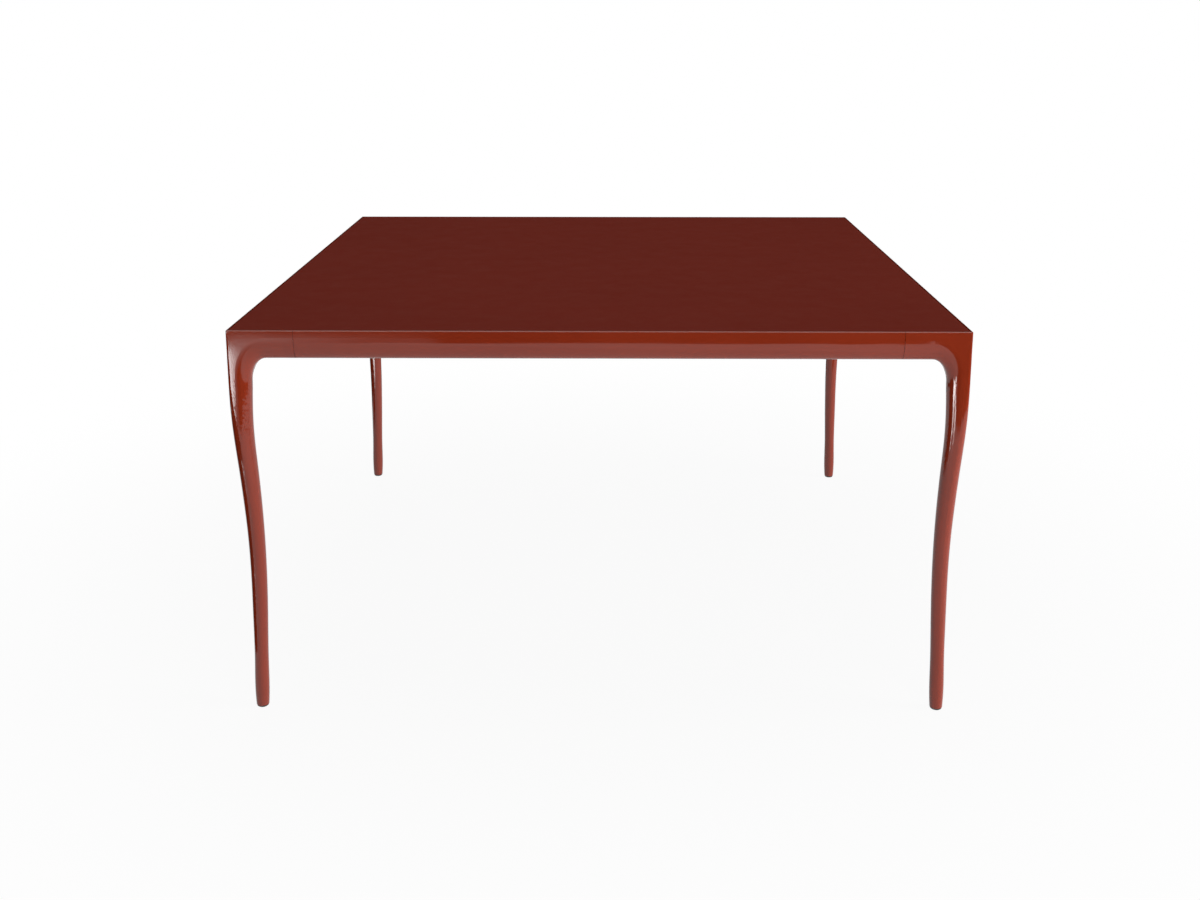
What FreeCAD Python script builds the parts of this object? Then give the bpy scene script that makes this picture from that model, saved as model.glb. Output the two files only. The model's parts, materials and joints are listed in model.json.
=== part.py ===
import FreeCAD, Part
import math
import os

from FreeCAD import Vector

# Square dining table: a panel lies flush in a frame of four extruded rails and four cast corner legs.
# All sizes are in millimetres. The origin is on the floor under the middle of the top, +Z is up,
# and the front of the table faces -Y.

# Whole table
table_side = 1350.0
table_height = 750.0

# Frame section, shared by the rails and by the stubs of the castings
frame_height = 56.0
frame_depth = 44.0
flat_band = 14.0
tuck_depth = 20.0
rim_wall = 4.0
rim_round = 2.5
rail_wall = 3.0
heel_inner_round = 3.0

# Top panel and what it lies on
panel_thickness = 15.0
panel_gap = 0.8
panel_arris = 0.6
gasket_thickness = 1.0
gasket_width = 14.0
gasket_inset = 10.0

# Corner castings: the stubs and the crook under them
stub_length = 122.0
seam_gap = 0.7
crook_width = 30.0
crook_drop = 44.0
corner_round = 3.5
leg_corner_round = 5.0
leg_top_width = 38.2
leg_side_round = 25.0
crook_cuts = 7

# Corner castings: the leg
leg_sway = 16.0
foot_diameter = 24.0
least_flat = 0.2

# Shares of the leg's drop, of its sway and of its taper, from the crook down to the foot
leg_drop_shares = (0.0, 0.03, 0.10, 0.17, 0.26, 0.36, 0.46, 0.58, 0.72, 0.86, 1.0)
leg_sway_shares = (0.0, 0.0, 0.02, 0.12, 0.36, 0.63, 0.855, 0.98, 0.975, 0.925, 0.90)
leg_taper_shares = (1.0, 0.97, 0.86, 0.79, 0.735, 0.66, 0.53, 0.41, 0.29, 0.16, 0.0)

# Shares by which the roundings of the leg's section reach a full circle at each of those places
crisp_round_shares = (0.0, 0.07, 0.36, 0.72, 0.94, 1.0, 1.0, 1.0, 1.0, 1.0, 1.0)
soft_round_shares = (0.0, 0.09, 0.27, 0.44, 0.67, 0.92, 1.0, 1.0, 1.0, 1.0, 1.0)

# Panel lugs inside the castings
lug_reach = 62.0
lug_waist = 20.0
lug_thickness = 6.0
lug_root = 3.0
lug_hole_inset = 12.0
lug_boss_diameter = 18.0

# Joint keys
key_length = 100.0
key_width = 18.0
key_edge_round = 3.5
key_clearance = 0.2
key_end_clearance = 1.0
key_screw_near = 14.0
key_screw_far = 38.0

# Screws
screw_diameter = 5.0
screw_length = 14.0
screw_head_diameter = 9.5
screw_head_height = 2.8
screw_clearance = 0.25
wood_screw_diameter = 4.0
wood_screw_bite = 11.0

# Cross bars and the foam strips on them
bar_width = 40.0
bar_height = 20.0
bar_wall = 2.0
bar_inner_round = 1.0
bar_spacing = 450.0
bar_end_clearance = 0.3
bar_pad_width = 20.0

# Bar brackets: the bend is the radius inside the angle
bar_bracket_sheet = 2.5
bar_bracket_bend = 1.5
bar_bracket_width = 76.0
bar_bracket_shelf = 34.0
bar_bracket_shelf_width = 44.0
bar_bracket_notch = 6.5

# Panel brackets
panel_bracket_sheet = 2.0
panel_bracket_bend = 1.5
panel_bracket_width = 24.0
panel_bracket_arm = 22.0
bracket_gap = 35.0

# Feet
insert_diameter = 12.0
insert_length = 18.0
stud_diameter = 8.0
stud_length = 34.0
stud_clearance = 0.15
stud_end_clearance = 2.5
stud_socket_depth = 2.5
stud_chamfer = 1.0
pad_diameter = 22.0
pad_thickness = 4.0
pad_chamfer = 1.5

# One length by which every cutting solid runs past what it cuts
overrun = 5.0

half_side = table_side / 2
frame_bottom = table_height - frame_height
panel_bottom = table_height - panel_thickness
ledge_height = panel_bottom - gasket_thickness
heel_round = rail_wall + heel_inner_round
crook_height = frame_bottom - crook_drop
leg_drop = crook_height - pad_thickness
leg_inner_round = leg_top_width - leg_side_round - least_flat
inner_face = -half_side + frame_depth
seam_middle = -half_side + stub_length + seam_gap / 2
key_screw_height = (ledge_height + frame_bottom) / 2
clear_diameter = screw_diameter + 2 * screw_clearance
wood_clear_diameter = wood_screw_diameter + 2 * screw_clearance
stud_bore_diameter = stud_diameter + 2 * stud_clearance
bar_reach = half_side - frame_depth - bar_bracket_sheet - bar_bracket_bend - bar_end_clearance
bar_bracket_tall = bar_bracket_sheet + bar_height
panel_bracket_offset = (bar_spacing + bar_bracket_width + panel_bracket_width) / 2 + bracket_gap

origin = Vector(0, 0, 0)
upward = Vector(0, 0, 1)
forward = Vector(0, -1, 0)
across = Vector(1, 0, 0)
diagonal = Vector(1, -1, 0)

os.makedirs("parts", exist_ok=True)


def export(name, solids):
    """Writes one node; a group of like pieces becomes one compound of separate solids."""
    shape = solids[0] if len(solids) == 1 else Part.makeCompound(solids)
    shape.exportStep("parts/" + name + ".step")


def turned(shape, quarter_turns):
    """A copy of a piece of the front side, turned about the table's middle to another side."""
    copy = shape.copy()
    copy.rotate(origin, upward, 90 * quarter_turns)
    return copy


def on_sides(shapes, turns):
    """Copies of the pieces of the front side on every side that is named by its quarter turns."""
    return [turned(shape, turn) for shape in shapes for turn in turns]


def left_and_right(shape):
    """A piece on the left and its mirror image on the right."""
    return [shape, shape.mirror(origin, across)]


def at_front_left(shape):
    """Moves a piece from the corner's own frame to the front left corner."""
    shape.translate(Vector(-half_side, -half_side, 0))
    return shape


def mix(start, end, share):
    return start + (end - start) * share


def line(start, end):
    return Part.makeLine(start, end)


def quarter_round(start, corner, end):
    """An exact quarter of an ellipse that leaves start and reaches end along the sides of a corner."""
    curve = Part.BezierCurve()
    curve.setPoles([start, corner, end])
    curve.setWeight(2, math.sqrt(0.5))
    return curve.toShape()


def box_between(low, high):
    size = high - low
    return Part.makeBox(size.x, size.y, size.z, low)


def rod(diameter, length, base, direction):
    return Part.makeCylinder(diameter / 2, length, base, direction)


def edges_where(shape, is_wanted):
    """The edges of a shape whose middle points pass a test."""
    return [edge for edge in shape.Edges if is_wanted(edge.CenterOfMass)]


# Screws: each head stands on its seat and the shank runs on along the given direction


def screw(diameter, length, seat, direction):
    shank = rod(diameter, length, seat, direction)
    head = rod(screw_head_diameter, screw_head_height, seat, direction * -1)
    return shank.fuse(head).removeSplitter()


def machine_screw(seat, direction):
    return screw(screw_diameter, screw_length, seat, direction)


def wood_screw(seat):
    """A screw that goes up through what it holds and ends inside the panel."""
    return screw(wood_screw_diameter, panel_bottom + wood_screw_bite - seat.z, seat, upward)


def screw_hole(diameter, length, seat, direction):
    """A hole for a screw, open at the seat and as deep as the shank is long."""
    return rod(diameter, length + overrun, seat - direction * overrun, direction)


def pilot_hole(seat):
    """The hole in the panel for the end of a wood screw."""
    mouth = Vector(seat.x, seat.y, panel_bottom)
    return screw_hole(wood_screw_diameter, wood_screw_bite, mouth, upward)


# Joint keys: one slides into the rail and into the casting at each seam


def key_block(side_clearance, end_clearance):
    """The key at the front rail's left end or, with clearances, the pocket for it."""
    reach = key_length / 2 + end_clearance
    spare = key_clearance - side_clearance
    inner = inner_face - rail_wall - spare
    outer = inner - key_width - 2 * side_clearance
    low = Vector(seam_middle - reach, outer, frame_bottom + rail_wall + spare)
    high = Vector(seam_middle + reach, inner, ledge_height - rail_wall - spare)
    block = box_between(low, high)
    long_edges = edges_where(block, lambda middle: abs(middle.x - seam_middle) < seam_gap)
    return block.makeFillet(key_edge_round + side_clearance, long_edges)


def key_screw_seats():
    """Where that key's screws stand, on the hidden inner face of the frame."""
    steps = (-key_screw_far, -key_screw_near, key_screw_near, key_screw_far)
    return [Vector(seam_middle + step, inner_face, key_screw_height) for step in steps]


def key_screw_holes(diameter):
    return [screw_hole(diameter, screw_length, seat, forward) for seat in key_screw_seats()]


def joint_key():
    return key_block(0, 0).cut(key_screw_holes(screw_diameter))


# Brackets of bent sheet


def bent_angle(sheet, bend, tall, deep, width):
    """A shelf along +Y and a plate along +Z that leave a rounded bend at the origin."""
    def point(y, z):
        return Vector(-width / 2, y, z)

    outline = Part.makePolygon([
        point(0, 0),
        point(deep, 0),
        point(deep, sheet),
        point(sheet, sheet),
        point(sheet, tall),
        point(0, tall),
        point(0, 0),
    ])
    angle = Part.Face(outline).extrude(Vector(width, 0, 0))

    def runs_across_at(place):
        return lambda middle: middle.distanceToPoint(Vector(0, place, place)) < sheet / 2

    angle = angle.makeFillet(bend + sheet, edges_where(angle, runs_across_at(0)))
    return angle.makeFillet(bend, edges_where(angle, runs_across_at(sheet)))


def panel_bracket_places():
    """The two places on the front rail's inner face, level with the panel's underside."""
    return [Vector(side * panel_bracket_offset, inner_face, panel_bottom) for side in (-1, 1)]


def rail_screw_seat(place):
    """Where the machine screw of a panel bracket stands, half way down its plate."""
    return place + Vector(0, panel_bracket_sheet, -panel_bracket_arm / 2)


def panel_screw_seat(place):
    """Where the wood screw of a panel bracket hangs, half way along its shelf."""
    half_way = (panel_bracket_arm + panel_bracket_sheet + panel_bracket_bend) / 2
    return place + Vector(0, half_way, -panel_bracket_sheet)


def panel_bracket(place):
    """A small angle that ties the panel to a rail, with its shelf uppermost."""
    arm = panel_bracket_arm
    angle = bent_angle(panel_bracket_sheet, panel_bracket_bend, arm, arm, panel_bracket_width)
    angle = angle.mirror(origin, upward)
    angle.translate(place)
    return angle.cut([
        screw_hole(clear_diameter, screw_length, rail_screw_seat(place), forward),
        screw_hole(wood_clear_diameter, arm, panel_screw_seat(place), upward),
    ])


def bar_screw_seat():
    """Where the left bar's front screw hangs, under the middle of its bracket's shelf."""
    middle = inner_face + bar_bracket_sheet + bar_bracket_shelf / 2
    return Vector(-bar_spacing / 2, middle, ledge_height - bar_bracket_tall)


def ear_screw_seats():
    """Where the two rail screws of the front left bar bracket stand, in the middle of its ears."""
    step = (bar_bracket_width + bar_bracket_shelf_width) / 4
    height = ledge_height - (bar_bracket_tall - bar_bracket_notch) / 2
    ear_face = inner_face + bar_bracket_sheet
    return [Vector(-bar_spacing / 2 + side * step, ear_face, height) for side in (-1, 1)]


def bar_bracket():
    """The front left bar bracket: its ears are screwed to the rail and the bar lies on its shelf."""
    deep = bar_bracket_sheet + bar_bracket_shelf
    angle = bent_angle(bar_bracket_sheet, bar_bracket_bend, bar_bracket_tall, deep, bar_bracket_width)
    notch = box_between(
        Vector(bar_bracket_shelf_width / 2, -overrun, -overrun),
        Vector(bar_bracket_width / 2 + overrun, deep + overrun, bar_bracket_notch),
    )
    angle = angle.cut(left_and_right(notch))
    angle.translate(Vector(-bar_spacing / 2, inner_face, ledge_height - bar_bracket_tall))
    holes = [screw_hole(clear_diameter, screw_length, seat, forward) for seat in ear_screw_seats()]
    holes.append(screw_hole(clear_diameter, bar_bracket_sheet, bar_screw_seat(), upward))
    return angle.cut(holes)


# Cross bars under the panel, and their pads


def bar_tube(inset):
    """The left bar's outline moved inwards by a wall, over the bar's whole length."""
    half_width = bar_width / 2 - inset
    low = Vector(-bar_spacing / 2 - half_width, -bar_reach, ledge_height - bar_height + inset)
    high = Vector(-bar_spacing / 2 + half_width, bar_reach, ledge_height - inset)
    tube = box_between(low, high)
    long_edges = edges_where(tube, lambda middle: abs(middle.y) < bar_wall)
    return tube.makeFillet(bar_inner_round + bar_wall - inset, long_edges)


def cross_bar():
    """The left bar: a rectangular tube that runs from the front rail to the back rail."""
    front_hole = screw_hole(screw_diameter, bar_bracket_sheet + bar_wall, bar_screw_seat(), upward)
    back_hole = front_hole.mirror(origin, forward)
    return bar_tube(0).cut([bar_tube(bar_wall), front_hole, back_hole])


def bar_pad():
    """The strip of foam tape between the left bar and the panel."""
    low = Vector(-bar_spacing / 2 - bar_pad_width / 2, -bar_reach, ledge_height)
    high = Vector(-bar_spacing / 2 + bar_pad_width / 2, bar_reach, panel_bottom)
    return box_between(low, high)


# Rails


def section_solid(wall, length):
    """The frame's outline, moved inwards by a wall, drawn out along the front side about its middle."""
    outer = -half_side + wall
    inner = inner_face - wall
    low = frame_bottom + wall

    def point(y, z):
        return Vector(-length / 2, y, z)

    outline = Part.Wire([
        line(point(outer, table_height), point(outer, table_height - flat_band)),
        quarter_round(
            point(outer, table_height - flat_band),
            point(outer, low),
            point(-half_side + tuck_depth, low),
        ),
        line(point(-half_side + tuck_depth, low), point(inner_face - heel_round, low)),
        quarter_round(
            point(inner_face - heel_round, low),
            point(inner, low),
            point(inner, frame_bottom + heel_round),
        ),
        line(point(inner, frame_bottom + heel_round), point(inner, table_height)),
        line(point(inner, table_height), point(outer, table_height)),
    ])
    return Part.Face(outline).extrude(Vector(length, 0, 0))


def panel_recess():
    """The space above the ledge and inside the rim, which the gasket and the panel fill."""
    edge = half_side - rim_wall
    return box_between(Vector(-edge, -edge, ledge_height), Vector(edge, edge, table_height + overrun))


def rail_chamber(length):
    """The space inside a rail, under the ledge's plate and open at both ends."""
    chamber = section_solid(rail_wall, length)
    roof = box_between(
        Vector(-half_side, -half_side, ledge_height - rail_wall),
        Vector(half_side, half_side, table_height + overrun),
    )
    return chamber.cut(roof)


def rail(carries_bars):
    """The front rail: a hollow extrusion with a rim, a ledge and a tucked-in underside."""
    length = table_side - 2 * (stub_length + seam_gap)
    body = section_solid(0, length)
    rim_place = Vector(0, -half_side, table_height)
    rim = edges_where(body, lambda middle: middle.distanceToPoint(rim_place) < rim_round)
    body = body.makeFillet(rim_round, rim)
    holes = key_screw_holes(clear_diameter)
    if carries_bars:
        holes += [screw_hole(screw_diameter, screw_length, seat, forward) for seat in ear_screw_seats()]
    bracket_seat = rail_screw_seat(panel_bracket_places()[0])
    holes.append(screw_hole(screw_diameter, screw_length, bracket_seat, forward))
    cuts = [rail_chamber(length), panel_recess()]
    for hole in holes:
        cuts += left_and_right(hole)
    return body.cut(cuts).removeSplitter().Solids[0]


# Corner castings. Each is drawn in the corner's own frame: p runs along X and q along Y, both inwards
# from the outer faces, and the outer corner edge stands on the origin.


def crook_section(turn):
    """A cut through the side stub as it bends down into the leg: turn is 0 at the stub and 1 at the leg.

    The cuts fan out round a level axis inside the crook and reach it along an ellipse. Each keeps the
    flat outer face on p = 0, and its rounded underside changes from the rail's tuck and heel to the
    roundings of the leg.
    """
    ease = turn * turn * (3 - 2 * turn)
    angle = math.radians(90) * turn
    tuck_across = mix(tuck_depth, leg_side_round, ease)
    under = crook_width * crook_drop / math.hypot(
        crook_width * math.cos(angle),
        crook_drop * math.sin(angle),
    )
    tuck_out = under + mix(frame_height - flat_band, leg_side_round, ease)
    heel = mix(heel_round, leg_inner_round, ease)
    depth = mix(frame_depth, leg_top_width, ease)
    axis_q = leg_top_width + crook_width
    beyond = math.hypot(axis_q, table_height - crook_height) + overrun

    def point(p, out):
        return Vector(p, axis_q - out * math.sin(angle), crook_height + out * math.cos(angle))

    return Part.Wire([
        line(point(0, beyond), point(0, tuck_out)),
        quarter_round(point(0, tuck_out), point(0, under), point(tuck_across, under)),
        line(point(tuck_across, under), point(depth - heel, under)),
        quarter_round(point(depth - heel, under), point(depth, under), point(depth, under + heel)),
        line(point(depth, under + heel), point(depth, beyond)),
        line(point(depth, beyond), point(0, beyond)),
    ])


def corner_envelope():
    """The corner's outer planes with rounded edges; the round of the upright edge grows downwards."""
    high = Vector(stub_length, stub_length, table_height)
    block = box_between(Vector(0, 0, crook_height), high)
    upright = edges_where(block, lambda middle: math.hypot(middle.x, middle.y) < corner_round)
    block = block.makeFillet(leg_corner_round, corner_round, upright)

    def is_upper(middle):
        return table_height - middle.z < corner_round and min(middle.x, middle.y) < corner_round

    return block.makeFillet(rim_round, edges_where(block, is_upper))


def half_corner_wedge():
    """The half of the corner on the side where q is more than p."""
    low = crook_height - overrun
    far = stub_length + overrun
    outline = Part.makePolygon([
        Vector(-overrun, -overrun, low),
        Vector(-overrun, far, low),
        Vector(far, far, low),
        Vector(-overrun, -overrun, low),
    ])
    return Part.Face(outline).extrude(Vector(0, 0, table_height - low + overrun))


def crook():
    """Both stubs and the crook: one half is lofted and trimmed, and the other is its mirror image."""
    last = crook_cuts - 1
    bend = Part.makeLoft([crook_section(step / last) for step in range(crook_cuts)], True)
    stub_start = leg_top_width + crook_width
    stub = Part.Face(crook_section(0)).extrude(Vector(0, stub_length - stub_start, 0))
    half = bend.fuse(stub).common(corner_envelope()).common(half_corner_wedge())
    return half.fuse(half.mirror(origin, diagonal))


def leg_section(place):
    """A level cut through the leg: a square with four rounded corners that ends as a circle."""
    low = leg_sway * leg_sway_shares[place]
    width = mix(foot_diameter, leg_top_width, leg_taper_shares[place])
    height = crook_height - leg_drop * leg_drop_shares[place]
    high = low + width
    full = (width - least_flat) / 2
    outer = mix(leg_corner_round, full, crisp_round_shares[place])
    side = mix(leg_side_round, full, soft_round_shares[place])
    inner = width - side - least_flat

    def point(p, q):
        return Vector(p, q, height)

    return Part.Wire([
        quarter_round(point(low, low + outer), point(low, low), point(low + outer, low)),
        line(point(low + outer, low), point(high - side, low)),
        quarter_round(point(high - side, low), point(high, low), point(high, low + side)),
        line(point(high, low + side), point(high, high - inner)),
        quarter_round(point(high, high - inner), point(high, high), point(high - inner, high)),
        line(point(high - inner, high), point(low + side, high)),
        quarter_round(point(low + side, high), point(low, high), point(low, high - side)),
        line(point(low, high - side), point(low, low + outer)),
    ])


def leg():
    return Part.makeLoft([leg_section(place) for place in range(len(leg_drop_shares))], True)


def lug_middle():
    """The middle of the lug's hole at floor level."""
    return Vector(frame_depth + lug_hole_inset, frame_depth + lug_hole_inset, 0)


def lug():
    """The web between the stubs, level with the ledge, with a boss that meets the panel."""
    near = frame_depth - lug_root
    far = frame_depth + lug_reach
    waist = frame_depth + lug_waist
    low = ledge_height - lug_thickness
    outline = Part.Wire([
        line(Vector(far, near, low), Vector(near, near, low)),
        line(Vector(near, near, low), Vector(near, far, low)),
        Part.Arc(Vector(near, far, low), Vector(waist, waist, low), Vector(far, near, low)).toShape(),
    ])
    web = Part.Face(outline).extrude(Vector(0, 0, lug_thickness))
    boss = rod(lug_boss_diameter, panel_bottom - low, lug_middle() + upward * low, upward)
    return web.fuse(boss)


def foot_middle():
    """The middle of the foot at floor level."""
    middle = leg_sway * leg_sway_shares[-1] + foot_diameter / 2
    return Vector(middle, middle, 0)


def casting_bores():
    """The hole through the lug, the seat of the foot's insert and the bore for the glide's stud."""
    stud_top = pad_thickness - stud_socket_depth + stud_length
    return [
        rod(wood_clear_diameter, frame_height, lug_middle() + upward * frame_bottom, upward),
        rod(insert_diameter, pad_thickness + insert_length, foot_middle(), upward),
        rod(stud_bore_diameter, stud_top + stud_end_clearance, foot_middle(), upward),
    ]


def corner_leg():
    """The front left casting with its lug, its key pockets and screw holes, and the bores in its foot."""
    casting = at_front_left(crook().fuse(leg())).cut(panel_recess())
    casting = casting.fuse(at_front_left(lug()))
    cuts = [at_front_left(bore) for bore in casting_bores()]
    corner = Vector(-half_side, -half_side, 0)
    for cut in [key_block(key_clearance, key_end_clearance)] + key_screw_holes(clear_diameter):
        cuts += [cut, cut.mirror(corner, diagonal)]
    return casting.cut(cuts).removeSplitter().Solids[0]


# Panel and gaskets


def panel_fixings():
    """The seats of the front side's wood screws: one under the left lug and one under each bracket."""
    lug_seat = lug_middle() + Vector(-half_side, -half_side, ledge_height - lug_thickness)
    return [lug_seat] + [panel_screw_seat(place) for place in panel_bracket_places()]


def top_panel():
    edge = half_side - rim_wall - panel_gap
    board = box_between(Vector(-edge, -edge, panel_bottom), Vector(edge, edge, table_height))
    upper = edges_where(board, lambda middle: table_height - middle.z < panel_arris)
    board = board.makeFillet(panel_arris, upper)
    pilots = [pilot_hole(seat) for seat in panel_fixings()]
    return board.cut(on_sides(pilots, range(4)))


def gasket(end_inset):
    """A strip of foam tape on the front ledge, with its ends this far inside the outer faces."""
    near = -half_side + gasket_inset
    reach = half_side - end_inset
    return box_between(Vector(-reach, near, ledge_height), Vector(reach, near + gasket_width, panel_bottom))


# Feet


def foot_insert():
    """A threaded sleeve pressed into the foot, level with its end."""
    foot = foot_middle() + upward * pad_thickness
    sleeve = rod(insert_diameter, insert_length, foot, upward)
    return at_front_left(sleeve.cut(rod(stud_bore_diameter, insert_length, foot, upward)))


def glide_stud():
    """The threaded stud: its lower end is moulded into the pad and the rest runs up the foot."""
    base = foot_middle() + upward * (pad_thickness - stud_socket_depth)
    stud = rod(stud_diameter, stud_length, base, upward)
    top = edges_where(stud, lambda middle: base.z + stud_length - middle.z < stud_chamfer)
    return at_front_left(stud.makeChamfer(stud_chamfer, top))


def glide_pad():
    """The moulded pad: a disc with a bevelled lower edge and a socket for the stud."""
    disc = rod(pad_diameter, pad_thickness, foot_middle(), upward)
    lower = edges_where(disc, lambda middle: middle.z < pad_chamfer)
    disc = disc.makeChamfer(pad_chamfer, lower)
    socket_floor = foot_middle() + upward * (pad_thickness - stud_socket_depth)
    return at_front_left(disc.cut(rod(stud_diameter, pad_thickness, socket_floor, upward)))


# Build every piece of one side, then turn it to the other sides

corner_names = ("front_left", "front_right", "back_right", "back_left")
rail_names = ("front", "right", "back", "left")
rail_end_names = (("left", "right"), ("front", "back"), ("right", "left"), ("back", "front"))

bar_rail = rail(True)
plain_rail = rail(False)
long_gasket = gasket(gasket_inset)
short_gasket = gasket(gasket_inset + gasket_width)
rail_end_keys = left_and_right(joint_key())
rail_end_brackets = [panel_bracket(place) for place in panel_bracket_places()]
corner_pieces = {
    "corner_leg": corner_leg(),
    "foot_insert": foot_insert(),
    "glide_stud": glide_stud(),
    "glide_pad": glide_pad(),
}

for turn in range(4):
    rail_name = rail_names[turn]
    carries_bars = turn % 2 == 0
    export("rail_" + rail_name, [turned(bar_rail if carries_bars else plain_rail, turn)])
    export("gasket_" + rail_name, [turned(long_gasket if carries_bars else short_gasket, turn)])
    for end_name, key, bracket in zip(rail_end_names[turn], rail_end_keys, rail_end_brackets):
        export("joint_key_" + rail_name + "_" + end_name, [turned(key, turn)])
        export("panel_bracket_" + rail_name + "_" + end_name, [turned(bracket, turn)])
    for piece_name, piece in corner_pieces.items():
        export(piece_name + "_" + corner_names[turn], [turned(piece, turn)])

export("top_panel", [top_panel()])

# The bars, their pads and their brackets are alike on the left and right

for side_name, bar, pad in zip(("left", "right"), left_and_right(cross_bar()), left_and_right(bar_pad())):
    export("cross_bar_" + side_name, [bar])
    export("bar_pad_" + side_name, [pad])

front_brackets = left_and_right(bar_bracket())
export("bar_bracket_front_left", [front_brackets[0]])
export("bar_bracket_front_right", [front_brackets[1]])
export("bar_bracket_back_right", [turned(front_brackets[0], 2)])
export("bar_bracket_back_left", [turned(front_brackets[1], 2)])

# Like screws share one node

key_screws = []
for seat in key_screw_seats():
    key_screws += left_and_right(machine_screw(seat, forward))
export("joint_screws", on_sides(key_screws, range(4)))

bracket_screws = [machine_screw(rail_screw_seat(place), forward) for place in panel_bracket_places()]
export("panel_bracket_screws", on_sides(bracket_screws, range(4)))

panel_screws = [wood_screw(seat) for seat in panel_fixings()]
export("panel_screws", on_sides(panel_screws, range(4)))

bar_screws = left_and_right(machine_screw(bar_screw_seat(), upward))
for seat in ear_screw_seats():
    bar_screws += left_and_right(machine_screw(seat, forward))
export("bar_bracket_screws", on_sides(bar_screws, (0, 2)))
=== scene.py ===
import json
import math

import bmesh
import bpy
from mathutils import Matrix, Vector


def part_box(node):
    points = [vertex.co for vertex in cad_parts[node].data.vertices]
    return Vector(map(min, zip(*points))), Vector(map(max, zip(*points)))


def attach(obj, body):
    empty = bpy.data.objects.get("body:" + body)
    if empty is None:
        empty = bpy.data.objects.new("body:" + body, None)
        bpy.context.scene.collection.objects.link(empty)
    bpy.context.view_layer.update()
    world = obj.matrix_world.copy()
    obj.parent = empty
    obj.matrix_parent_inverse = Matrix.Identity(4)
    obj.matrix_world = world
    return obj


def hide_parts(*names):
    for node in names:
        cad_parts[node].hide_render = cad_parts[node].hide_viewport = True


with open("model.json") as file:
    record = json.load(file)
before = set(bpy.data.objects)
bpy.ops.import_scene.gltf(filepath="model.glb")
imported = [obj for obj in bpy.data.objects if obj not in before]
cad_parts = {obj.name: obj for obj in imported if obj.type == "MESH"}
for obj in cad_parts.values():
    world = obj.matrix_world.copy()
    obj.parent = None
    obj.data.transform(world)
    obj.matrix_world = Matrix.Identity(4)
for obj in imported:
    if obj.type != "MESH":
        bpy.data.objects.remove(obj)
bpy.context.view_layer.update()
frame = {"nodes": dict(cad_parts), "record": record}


# The top is one flat panel of lacquered board that lies flush inside the frame's rim.
# Its lacquer is matt, dark red-brown and even; the edges and the hidden underside have a plain brown sheet.

def new_material(name):
    """A node material with its shader and the Object coordinates that its patterns read."""
    material = bpy.data.materials.new(name)
    material.use_nodes = True
    tree = material.node_tree
    place = tree.nodes.new("ShaderNodeTexCoord").outputs["Object"]
    return material, tree, tree.nodes["Principled BSDF"], place


def noise(tree, place, scale, detail):
    """A soft cloudy pattern."""
    node = tree.nodes.new("ShaderNodeTexNoise")
    node.inputs["Scale"].default_value = scale
    node.inputs["Detail"].default_value = detail
    tree.links.new(place, node.inputs["Vector"])
    return node.outputs["Fac"]


def spread(tree, pattern, low, high):
    """Spreads the middle of a pattern, where most of it lies, over a range of values."""
    node = tree.nodes.new("ShaderNodeMapRange")
    node.inputs["From Min"].default_value = 0.3
    node.inputs["From Max"].default_value = 0.7
    node.inputs["To Min"].default_value = low
    node.inputs["To Max"].default_value = high
    tree.links.new(pattern, node.inputs["Value"])
    return node.outputs["Result"]


def colours(tree, share, first, second):
    """Goes from one colour to another by a share; each is three values or a socket."""
    node = tree.nodes.new("ShaderNodeMix")
    node.data_type = "RGBA"
    for socket, colour in (("A_Color", first), ("B_Color", second)):
        target = next(entry for entry in node.inputs if entry.identifier == socket)
        if isinstance(colour, tuple):
            target.default_value = (*colour, 1)
        else:
            tree.links.new(colour, target)
    tree.links.new(share, node.inputs["Factor"])
    return next(entry for entry in node.outputs if entry.identifier == "Result_Color")


def roughen(tree, shader, pattern, low, high):
    """Lets the roughness change between two values as the pattern goes."""
    tree.links.new(spread(tree, pattern, low, high), shader.inputs["Roughness"])


def relief(tree, shader, pattern, depth, strength):
    """Raises the pattern as a fine texture on the surface."""
    node = tree.nodes.new("ShaderNodeBump")
    node.inputs["Distance"].default_value = depth
    node.inputs["Strength"].default_value = strength
    tree.links.new(pattern, node.inputs["Height"])
    tree.links.new(node.outputs["Normal"], shader.inputs["Normal"])


def dress(material, *starts):
    """Gives the material to every CAD node whose name starts with one of these words."""
    for name, piece in frame["nodes"].items():
        if name.startswith(starts):
            for slot in piece.material_slots:
                slot.material = material


top_lacquer, tree, shader, place = new_material("top_lacquer")
lacquer_dark = (0.158, 0.0152, 0.0064)
lacquer_light = (0.166, 0.0163, 0.0070)
lacquer_thickness = 0.0007
lacquer_gloss = 0.05
sheet_brown = (0.052, 0.022, 0.015)
cloud = noise(tree, place, scale=2.5, detail=3)
lacquer = colours(tree, spread(tree, cloud, low=0, high=1), lacquer_dark, lacquer_light)
height_above_floor = tree.nodes.new("ShaderNodeSeparateXYZ")
tree.links.new(place, height_above_floor.inputs["Vector"])
is_face = tree.nodes.new("ShaderNodeMath")
is_face.operation = "GREATER_THAN"
is_face.inputs[1].default_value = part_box("top_panel")[1].z - lacquer_thickness
tree.links.new(height_above_floor.outputs["Z"], is_face.inputs[0])
tree.links.new(colours(tree, is_face.outputs["Value"], sheet_brown, lacquer), shader.inputs["Base Color"])
roughen(tree, shader, noise(tree, place, scale=22, detail=4), low=0.58, high=0.66)
shader.inputs["Specular IOR Level"].default_value = lacquer_gloss
relief(tree, shader, noise(tree, place, scale=1600, detail=2), depth=0.0004, strength=0.06)
dress(top_lacquer, "top_panel")


# The frame has four straight aluminium extrusions and four cast corners with their legs, so the legs are
# of one piece with short stubs of the rails. All of it is stove-enamelled in one glossy orange-brown red.

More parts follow.
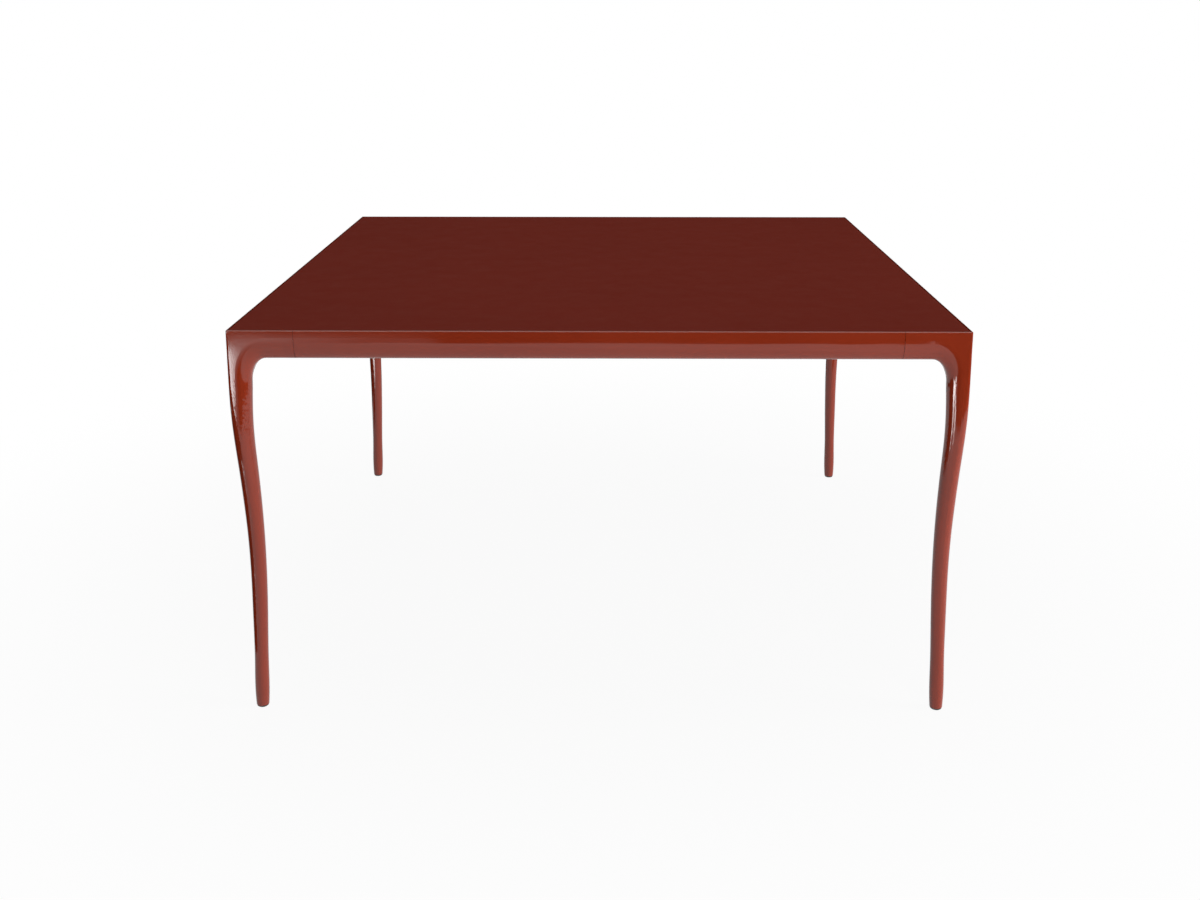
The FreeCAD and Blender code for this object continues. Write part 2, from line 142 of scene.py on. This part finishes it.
def tint(tree, shader, pattern, dark, light):
    """Lets the colour change between two tones as the pattern goes."""
    tone = colours(tree, spread(tree, pattern, low=0, high=1), dark, light)
    tree.links.new(tone, shader.inputs["Base Color"])


frame_enamel, tree, shader, place = new_material("frame_enamel")
enamel_deep = (0.226, 0.0242, 0.0078)
enamel_bright = (0.246, 0.0274, 0.0090)
tint(tree, shader, noise(tree, place, scale=4, detail=2), enamel_deep, enamel_bright)
roughen(tree, shader, noise(tree, place, scale=18, detail=3), low=0.055, high=0.080)
relief(tree, shader, noise(tree, place, scale=420, detail=1), depth=0.0008, strength=0.008)
dress(frame_enamel, "rail_", "corner_leg_")


# Eight keys of bare extruded aluminium slide into the rails and castings and tie them end to end. Button
# head screws of zinc-plated steel hold them from the hidden inner side of the frame, four to a key.

def streaks(tree, place, squeeze, detail):
    """A pattern that is squeezed by other amounts along each axis, so that it runs out into streaks."""
    node = tree.nodes.new("ShaderNodeMapping")
    node.inputs["Scale"].default_value = squeeze
    tree.links.new(place, node.inputs["Vector"])
    return noise(tree, node.outputs["Vector"], scale=1, detail=detail)


mill_aluminium, tree, shader, place = new_material("mill_aluminium")
aluminium_dull = (0.60, 0.61, 0.62)
aluminium_clear = (0.78, 0.79, 0.80)
draw_marks = streaks(tree, place, squeeze=(40, 900, 900), detail=3)
tint(tree, shader, draw_marks, aluminium_dull, aluminium_clear)
roughen(tree, shader, draw_marks, low=0.30, high=0.46)
shader.inputs["Metallic"].default_value = 1
relief(tree, shader, draw_marks, depth=0.0003, strength=0.08)
dress(mill_aluminium, "joint_key_")

screw_zinc, tree, shader, place = new_material("screw_zinc")
zinc_grey = (0.46, 0.47, 0.48)
zinc_bright = (0.66, 0.68, 0.70)
turning_marks = noise(tree, place, scale=700, detail=2)
tint(tree, shader, turning_marks, zinc_grey, zinc_bright)
roughen(tree, shader, noise(tree, place, scale=300, detail=2), low=0.24, high=0.40)
shader.inputs["Metallic"].default_value = 1
relief(tree, shader, turning_marks, depth=0.0002, strength=0.06)

head_radius = 0.00475
head_height = 0.0028
head_flat_radius = 0.0029
head_rim = 0.0007
dome_radius = 0.0042
dome_height = 0.0020
socket_radius = 0.00173
socket_depth = 0.0016
socket_sides = 6
point_length = 0.0008
round_steps = 24


def finished(bm, name, material):
    """Makes the piece's object from its bmesh, with the faces pointing outwards."""
    bmesh.ops.recalc_face_normals(bm, faces=bm.faces)
    mesh = bpy.data.meshes.new(name)
    bm.to_mesh(mesh)
    bm.free()
    mesh.materials.append(material)
    piece = bpy.data.objects.new(name, mesh)
    bpy.context.scene.collection.objects.link(piece)
    return piece


def smooth(piece, sharp_angle):
    """Shades the rounds smoothly and keeps every edge that turns by more degrees than the angle."""
    piece.data.shade_smooth()
    piece.data.set_sharp_from_angle(angle=math.radians(sharp_angle))
    return piece


def profile_line(bm, points):
    """Draws a profile of radii and heights beside the Z axis, ready to be spun."""
    corners = [bm.verts.new((radius, 0, height)) for radius, height in points]
    return corners + [bm.edges.new(pair) for pair in zip(corners, corners[1:])]


def screw_model(shank_radius, shank_length):
    """One screw that stands on its seat at the origin: a domed head with a hexagon socket, and a shank."""
    bm = bmesh.new()
    profile = profile_line(bm, (
        (head_flat_radius, head_height),
        (dome_radius, dome_height),
        (head_radius, head_rim),
        (head_radius, 0),
        (shank_radius, 0),
        (shank_radius, point_length - shank_length),
        (shank_radius - point_length, -shank_length),
    ))
    bmesh.ops.spin(
        bm,
        geom=profile,
        cent=(0, 0, 0),
        axis=(0, 0, 1),
        angle=math.tau,
        steps=round_steps,
        use_merge=True,
    )
    top_ring = [edge for edge in bm.edges if edge.is_boundary and edge.verts[0].co.z > 0]
    end_ring = [edge for edge in bm.edges if edge.is_boundary and edge.verts[0].co.z < 0]
    bmesh.ops.holes_fill(bm, edges=end_ring, sides=round_steps)
    mouth = bmesh.ops.create_circle(bm, segments=socket_sides, radius=socket_radius)["verts"]
    bmesh.ops.translate(bm, verts=mouth, vec=(0, 0, head_height))
    mouth_edges = [edge for edge in bm.edges if edge.is_wire]
    bmesh.ops.bridge_loops(bm, edges=top_ring + mouth_edges)
    walls = bmesh.ops.extrude_edge_only(bm, edges=[edge for edge in bm.edges if edge.is_boundary])["geom"]
    socket_floor = [part for part in walls if isinstance(part, bmesh.types.BMVert)]
    bmesh.ops.translate(bm, verts=socket_floor, vec=(0, 0, -socket_depth))
    bmesh.ops.holes_fill(bm, edges=[edge for edge in bm.edges if edge.is_boundary], sides=socket_sides)
    mesh = bpy.data.meshes.new("screw_model")
    bm.to_mesh(mesh)
    bm.free()
    return mesh


facing_in = Matrix.Rotation(math.radians(-90), 4, "X")
facing_down = Matrix.Rotation(math.radians(180), 4, "X")
right_and_left = (1, -1)
all_sides = (0, 1, 2, 3)
front_and_back = (0, 2)


def at_seat(x, y, z, facing):
    """Where a screw stands and which way its head faces."""
    return Matrix.Translation((x, y, z)) @ facing


def on_sides(seats, quarter_turns):
    """The seats of the front side, turned about the table's middle to the other sides."""
    turns = [Matrix.Rotation(math.radians(90) * turn, 4, "Z") for turn in quarter_turns]
    return [turn @ seat for turn in turns for seat in seats]


def screws(name, groups, replaced):
    """Sets copies of a screw on its seats and joins them in one piece that stands for the CAD node."""
    bm = bmesh.new()
    for model, seats in groups:
        for seat in seats:
            before = len(bm.verts)
            bm.from_mesh(model)
            bm.verts.ensure_lookup_table()
            bmesh.ops.transform(bm, matrix=seat, verts=bm.verts[before:])
    piece = smooth(finished(bm, name, screw_zinc), sharp_angle=35)
    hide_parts(replaced)
    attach(piece, "frame")


def middle(node):
    """The middle of a CAD node."""
    low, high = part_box(node)
    return (low + high) / 2


machine_screw = screw_model(shank_radius=0.0025, shank_length=0.014)
inner_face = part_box("rail_front")[1].y
key_middle = middle("joint_key_front_right")
key_screw_near = 0.014
key_screw_far = 0.038
key_seats = [
    at_seat(side * (key_middle.x + step), inner_face, key_middle.z, facing_in)
    for side in right_and_left
    for step in (-key_screw_far, -key_screw_near, key_screw_near, key_screw_far)
]
screws("key_screw_heads", [(machine_screw, on_sides(key_seats, all_sides))], "joint_screws")


# Strips of soft black foam lie between the panel and what carries it: one on the ledge of each side of
# the frame and one on each cross bar. They stop rattles and take up the small gaps.

def cells(tree, place, scale):
    """A pattern of small cells, with the distance from each middle and a colour for each."""
    node = tree.nodes.new("ShaderNodeTexVoronoi")
    node.inputs["Scale"].default_value = scale
    tree.links.new(place, node.inputs["Vector"])
    return node.outputs


black_foam, tree, shader, place = new_material("black_foam")
foam_pore_shade = (0.004, 0.004, 0.004)
foam_skin = (0.016, 0.016, 0.017)
pores = cells(tree, place, scale=900)["Distance"]
# The pits of the pores are painted darker as painted shade; the same pattern sinks them in the relief below.
tint(tree, shader, pores, foam_pore_shade, foam_skin)
roughen(tree, shader, noise(tree, place, scale=200, detail=2), low=0.88, high=0.98)
relief(tree, shader, pores, depth=0.0008, strength=0.6)
dress(black_foam, "gasket_", "bar_pad_")


# Two rectangular aluminium tubes run from the front rail to the back rail and keep the panel flat. They are
# coated in a fine-textured dark brown powder; their brackets are folded zinc-plated sheet, screwed on.

bar_powder, tree, shader, place = new_material("bar_powder")
powder_dark = (0.030, 0.016, 0.013)
powder_light = (0.044, 0.024, 0.019)
speckle = noise(tree, place, scale=700, detail=3)
tint(tree, shader, speckle, powder_dark, powder_light)
roughen(tree, shader, speckle, low=0.50, high=0.66)
relief(tree, shader, speckle, depth=0.0006, strength=0.25)
dress(bar_powder, "cross_bar_")

zinc_sheet, tree, shader, place = new_material("zinc_sheet")
spangle_dark = (0.42, 0.43, 0.45)
spangle_light = (0.60, 0.61, 0.63)
spangle = tree.nodes.new("ShaderNodeSeparateColor")
tree.links.new(cells(tree, place, scale=160)["Color"], spangle.inputs["Color"])
spangle_tone = colours(tree, spangle.outputs["Red"], spangle_dark, spangle_light)
tree.links.new(spangle_tone, shader.inputs["Base Color"])
rolling_marks = streaks(tree, place, squeeze=(30, 600, 600), detail=2)
roughen(tree, shader, rolling_marks, low=0.30, high=0.44)
shader.inputs["Metallic"].default_value = 1
relief(tree, shader, rolling_marks, depth=0.0003, strength=0.08)
dress(zinc_sheet, "bar_bracket_", "panel_bracket_")

bar_bracket_sheet = 0.0025
bar_bracket_notch = 0.0065
ear_step = 0.030
bracket_low, bracket_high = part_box("bar_bracket_front_right")
bracket_middle = middle("bar_bracket_front_right")
ear_face = inner_face + bar_bracket_sheet
ear_height = bracket_middle.z + bar_bracket_notch / 2
shelf_middle = (ear_face + bracket_high.y) / 2
bar_seats = []
for side in right_and_left:
    bar_seats.append(at_seat(side * bracket_middle.x, shelf_middle, bracket_low.z, facing_down))
    for step in (-ear_step, ear_step):
        bar_seats.append(at_seat(side * (bracket_middle.x + step), ear_face, ear_height, facing_in))
screws("bar_screw_heads", [(machine_screw, on_sides(bar_seats, front_and_back))], "bar_bracket_screws")


# Eight small angles of the same zinc-plated sheet hold the panel down. Each has a machine screw into the
# rail and a wood screw into the panel; four more wood screws go up through the lugs of the castings.

panel_bracket_sheet = 0.002
panel_bracket_bend = 0.0015
plate_face = inner_face + panel_bracket_sheet
angle_middle = middle("panel_bracket_front_right")
angle_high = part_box("panel_bracket_front_right")[1]
plate_seats = [
    at_seat(side * angle_middle.x, plate_face, angle_middle.z, facing_in) for side in right_and_left
]
screws("bracket_screw_heads", [(machine_screw, on_sides(plate_seats, all_sides))], "panel_bracket_screws")

shelf_screw = screw_model(shank_radius=0.002, shank_length=0.013)
shelf_screw_line = (plate_face + panel_bracket_bend + angle_high.y) / 2
shelf_underside = angle_high.z - panel_bracket_sheet
shelf_seats = [
    at_seat(side * angle_middle.x, shelf_screw_line, shelf_underside, facing_down) for side in right_and_left
]
lug_screw = screw_model(shank_radius=0.002, shank_length=0.018)
lowest_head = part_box("panel_screws")[0]
lug_middle = lowest_head.x + head_radius
lug_underside = lowest_head.z + head_height
lug_seats = [at_seat(lug_middle, lug_middle, lug_underside, facing_down)]
screws(
    "panel_screw_heads",
    [(lug_screw, on_sides(lug_seats, all_sides)), (shelf_screw, on_sides(shelf_seats, all_sides))],
    "panel_screws",
)


# In the end of each leg a brass insert is pressed in, and a steel stud with a real screw thread turns in
# it. The stud is moulded into a thin dark plastic pad that stands on the floor and levels the table.

insert_brass, tree, shader, place = new_material("insert_brass")
brass_dark = (0.52, 0.35, 0.13)
brass_light = (0.70, 0.50, 0.22)
tarnish = noise(tree, place, scale=260, detail=3)
tint(tree, shader, tarnish, brass_dark, brass_light)
roughen(tree, shader, tarnish, low=0.26, high=0.42)
shader.inputs["Metallic"].default_value = 1
relief(tree, shader, tarnish, depth=0.0002, strength=0.08)
dress(insert_brass, "foot_insert_")

pad_plastic, tree, shader, place = new_material("pad_plastic")
plastic_dark = (0.020, 0.017, 0.016)
plastic_light = (0.034, 0.029, 0.027)
mould_grain = noise(tree, place, scale=1300, detail=2)
tint(tree, shader, mould_grain, plastic_dark, plastic_light)
roughen(tree, shader, mould_grain, low=0.42, high=0.56)
relief(tree, shader, mould_grain, depth=0.0003, strength=0.2)
dress(pad_plastic, "glide_pad_")

thread_pitch = 0.00125
crest_radius = 0.004
root_radius = 0.00335
crest_width = 0.0002
thread_steps = 24
stud_low, stud_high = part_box("glide_stud_front_left")
thread_turns = math.ceil((stud_high.z - stud_low.z) / thread_pitch) + 1


def threaded_stud():
    """A rod with a helical thread, cut off level at both ends and closed."""
    bm = bmesh.new()
    half_crest = crest_width / 2
    start = stud_low.z - thread_pitch
    profile = profile_line(bm, (
        (root_radius, start),
        (crest_radius, start + thread_pitch / 2 - half_crest),
        (crest_radius, start + thread_pitch / 2 + half_crest),
        (root_radius, start + thread_pitch),
    ))
    bmesh.ops.spin(
        bm,
        geom=profile,
        cent=(0, 0, 0),
        axis=(0, 0, 1),
        dvec=(0, 0, thread_pitch / thread_steps),
        angle=math.tau * thread_turns,
        steps=thread_steps * thread_turns,
    )
    bmesh.ops.remove_doubles(bm, verts=bm.verts, dist=thread_pitch / 100)
    for level, side in ((stud_low.z, -1), (stud_high.z, 1)):
        thread = bm.verts[:] + bm.edges[:] + bm.faces[:]
        bmesh.ops.bisect_plane(
            bm, geom=thread, plane_co=(0, 0, level), plane_no=(0, 0, side), clear_outer=True
        )
        rim = [edge for edge in bm.edges if edge.is_boundary and abs(edge.verts[0].co.z - level) < half_crest]
        bmesh.ops.contextual_create(bm, geom=rim)
    return bm


feet = [mount for mount in frame["record"]["mounts"] if mount["name"].startswith("foot_")]
for foot in feet:
    corner = foot["name"].removeprefix("foot_")
    stud_bm = threaded_stud()
    bmesh.ops.translate(stud_bm, verts=stud_bm.verts, vec=foot["pos_m"])
    stud = smooth(finished(stud_bm, "threaded_stud_" + corner, screw_zinc), sharp_angle=30)
    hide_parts("glide_stud_" + corner)
    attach(stud, "glide_" + corner)


# The studio: a plain pale floor that runs out into white, a white surround and four soft lamps. In place of
# the lamps the glossy enamel mirrors cards: a dark band round the room and bright ones low down and above.

floor_size = 60
floor_grey = 0.80
shadow_white = 0.93
shadow_reach = 0.6
shadow_end = 2.2
floor_material = bpy.data.materials.new("studio_floor")
floor_material.use_nodes = True
tree = floor_material.node_tree
tree.nodes.clear()
floor_paint = tree.nodes.new("ShaderNodeBsdfDiffuse")
floor_paint.inputs["Color"].default_value = (floor_grey, floor_grey, floor_grey, 1)

# The camera sees a little of the real floor and its shadow near the table, and plain white further out.
from_middle = tree.nodes.new("ShaderNodeVectorMath")
from_middle.operation = "LENGTH"
tree.links.new(tree.nodes.new("ShaderNodeTexCoord").outputs["Object"], from_middle.inputs[0])
whiteness = tree.nodes.new("ShaderNodeMapRange")
whiteness.interpolation_type = "SMOOTHSTEP"
whiteness.inputs["From Min"].default_value = shadow_reach
whiteness.inputs["From Max"].default_value = shadow_end
whiteness.inputs["To Min"].default_value = shadow_white
whiteness.inputs["To Max"].default_value = 1
tree.links.new(from_middle.outputs["Value"], whiteness.inputs["Value"])
floor_white = tree.nodes.new("ShaderNodeEmission")
shadowed_white = tree.nodes.new("ShaderNodeMixShader")
tree.links.new(whiteness.outputs["Result"], shadowed_white.inputs["Fac"])
tree.links.new(floor_paint.outputs["BSDF"], shadowed_white.inputs[1])
tree.links.new(floor_white.outputs["Emission"], shadowed_white.inputs[2])
light_path = tree.nodes.new("ShaderNodeLightPath")
floor_shown = tree.nodes.new("ShaderNodeMixShader")
tree.links.new(light_path.outputs["Is Camera Ray"], floor_shown.inputs["Fac"])
tree.links.new(floor_paint.outputs["BSDF"], floor_shown.inputs[1])
tree.links.new(shadowed_white.outputs["Shader"], floor_shown.inputs[2])
floor_output = tree.nodes.new("ShaderNodeOutputMaterial")
tree.links.new(floor_shown.outputs["Shader"], floor_output.inputs["Surface"])

floor_bm = bmesh.new()
bmesh.ops.create_grid(floor_bm, x_segments=1, y_segments=1, size=floor_size / 2)
floor = finished(floor_bm, "studio_floor", floor_material)
floor.visible_glossy = False

# The world is white to the camera, in reflections and through glass, and lights the table only softly.
room_light = 0.19
world = bpy.data.worlds.new("studio")
bpy.context.scene.world = world
world.use_nodes = True
tree = world.node_tree
light_path = tree.nodes.new("ShaderNodeLightPath")
mirrored = tree.nodes.new("ShaderNodeMath")
mirrored.operation = "MAXIMUM"
tree.links.new(light_path.outputs["Is Glossy Ray"], mirrored.inputs[0])
tree.links.new(light_path.outputs["Is Transmission Ray"], mirrored.inputs[1])
shown = tree.nodes.new("ShaderNodeMath")
shown.operation = "MAXIMUM"
tree.links.new(light_path.outputs["Is Camera Ray"], shown.inputs[0])
tree.links.new(mirrored.outputs["Value"], shown.inputs[1])
brightness = tree.nodes.new("ShaderNodeMapRange")
brightness.inputs["To Min"].default_value = room_light
brightness.inputs["To Max"].default_value = 1
tree.links.new(shown.outputs["Value"], brightness.inputs["Value"])
background = tree.nodes["Background"]
background.inputs["Color"].default_value = (1, 1, 1, 1)
tree.links.new(brightness.outputs["Result"], background.inputs["Strength"])


lamp_aim = (0, 0, 0.6)


def lamp(name, place, size, power):
    """A large soft lamp that lights the table and shows in no reflection."""
    light = bpy.data.lights.new(name, "AREA")
    light.size = size
    light.energy = power
    holder = bpy.data.objects.new(name, light)
    holder.location = place
    holder.rotation_euler = (Vector(lamp_aim) - Vector(place)).to_track_quat("-Z", "Y").to_euler()
    holder.visible_glossy = False
    holder.visible_camera = False
    bpy.context.scene.collection.objects.link(holder)


lamp("front_lamp", place=(1.7, -4.9, 1.0), size=1.8, power=106)
lamp("side_lamp", place=(6.0, -1.2, 1.0), size=2.4, power=345)
lamp("back_lamp", place=(-1.6, 5.9, 1.0), size=1.8, power=110)
lamp("overhead_lamp", place=(0, 0.2, 3.4), size=3.0, power=22)


def card(name, corners, glow):
    """A flat card that shows only in glossy reflections; it gives back its material's tree and its light."""
    material = bpy.data.materials.new(name)
    material.use_nodes = True
    tree = material.node_tree
    tree.nodes.clear()
    light = tree.nodes.new("ShaderNodeEmission")
    light.inputs["Strength"].default_value = glow
    output = tree.nodes.new("ShaderNodeOutputMaterial")
    tree.links.new(light.outputs["Emission"], output.inputs["Surface"])
    bm = bmesh.new()
    bmesh.ops.contextual_create(bm, geom=[bm.verts.new(corner) for corner in corners])
    piece = finished(bm, name, material)
    piece.visible_camera = False
    piece.visible_diffuse = False
    piece.visible_transmission = False
    piece.visible_volume_scatter = False
    piece.visible_shadow = False
    return tree, light


def level_card(name, outline, height, glow):
    """A card that lies level at this height."""
    return card(name, [(x, y, height) for x, y in outline], glow)


def upright_card(name, first, second, low, high, glow):
    """A card that stands upright between two places on the plan and from one height to another."""
    return card(name, [(*first, low), (*second, low), (*second, high), (*first, high)], glow)


def fading_card(made, axis, first, last):
    """Lets a card's glow change evenly along an axis, between two places that each have a glow."""
    tree, light = made
    parts = tree.nodes.new("ShaderNodeSeparateXYZ")
    tree.links.new(tree.nodes.new("ShaderNodeTexCoord").outputs["Object"], parts.inputs["Vector"])
    fade = tree.nodes.new("ShaderNodeMapRange")
    fade.inputs["From Min"].default_value, fade.inputs["To Min"].default_value = first
    fade.inputs["From Max"].default_value, fade.inputs["To Max"].default_value = last
    tree.links.new(parts.outputs[axis], fade.inputs["Value"])
    tree.links.new(fade.outputs["Result"], light.inputs["Strength"])


# The dark band goes all round the room, from below the level of the floor to well above the table.
dark = 0
band_radius = 10
band_low = -2.55
band_high = 6.5
band_sides = 24
band_turns = [Matrix.Rotation(math.tau * side / band_sides, 2) for side in range(band_sides + 1)]
band_corners = [turn @ Vector((band_radius, 0)) for turn in band_turns]
for side, ends in enumerate(zip(band_corners, band_corners[1:])):
    upright_card("dark_band_card_" + str(side), *ends, band_low, band_high, dark)

# A dark card on the floor before the table carries the band on for the round of the front rail. A
# glowing one beside it lights the left corner.
card_height = 0.004
floor_front = -2.15
dark_outline = [(-0.50, floor_front), (0.97, floor_front), (1.22, -3.1), (-0.64, -3.1)]
glow_outline = [(-1.06, floor_front), (-0.50, floor_front), (-0.72, -3.60), (-1.52, -3.60)]
level_card("dark_floor_card", dark_outline, card_height, dark)
left_glow = level_card("left_glow_card", glow_outline, card_height, glow=1)
fading_card(left_glow, "X", first=(-1.5, 2.1), last=(-0.75, 0.4))

# White cards under the table and at its right show in the undersides, and one high in front in the rim.
floor_glow = 0.9
under_outline = [
    (-1.15, -2.0),
    (-0.88, -2.0),
    (-0.80, -1.4),
    (0.2, -1.4),
    (0.9, -1.1),
    (1.0, 1.5),
    (-1.15, 1.5),
]
right_outline = [(1.0, -0.45), (3.0, -0.45), (3.0, 1.5), (1.0, 1.5)]
rim_outline = [(-9, -9), (9, -9), (9, -2), (-9, -2)]
level_card("white_floor_card", under_outline, card_height, floor_glow)
level_card("white_right_card", right_outline, card_height, floor_glow)
level_card("rim_light_card", rim_outline, height=6, glow=3.2)

# Two soft boxes low down at the left draw the white strips on the front legs; dark cards trim the strips.
box_glow = 20
left_box = upright_card("left_box_card", (-1.090, -2.116), (-1.178, -2.085), low=-0.12, high=0.34, glow=1)
fading_card(left_box, "Z", first=(0.03, dark), last=(0.22, box_glow))
upright_card("left_flag_card", (-0.836, -1.145), (-1.098, -0.925), low=0.25, high=0.58, glow=dark)
right_box = upright_card("right_box_card", (-1.514, -3.414), (-2.58, -1.986), low=-0.8, high=0.05, glow=1)
fading_card(right_box, "Z", first=(-0.8, dark), last=(-0.35, box_glow))
upright_card("dark_left_card", (-2.58, -1.986), (-2.30, 0.30), low=-1.8, high=-0.05, glow=dark)


# The camera stands in front of the middle of the table at about chest height and looks down a little.
# Its lens and its place come from the corners and legs of the table in the photograph.

picture_width = 1200
picture_height = 900
lens_in_pixels = 1337
lens_axis_row = 270
sensor_width = 36
looking_down = 11.07
turned_left = 0.51566
camera_place = (0.0239, -3.0186, 1.3211)
camera = bpy.data.objects.new("camera", bpy.data.cameras.new("camera"))
camera.data.sensor_width = sensor_width
camera.data.lens = lens_in_pixels / picture_width * sensor_width
camera.data.shift_y = (lens_axis_row - picture_height / 2) / picture_width
camera.location = camera_place
camera.rotation_euler = (math.radians(90 - looking_down), 0, math.radians(turned_left))
bpy.context.scene.collection.objects.link(camera)
bpy.context.scene.camera = camera
bpy.context.scene.view_settings.view_transform = "Standard"
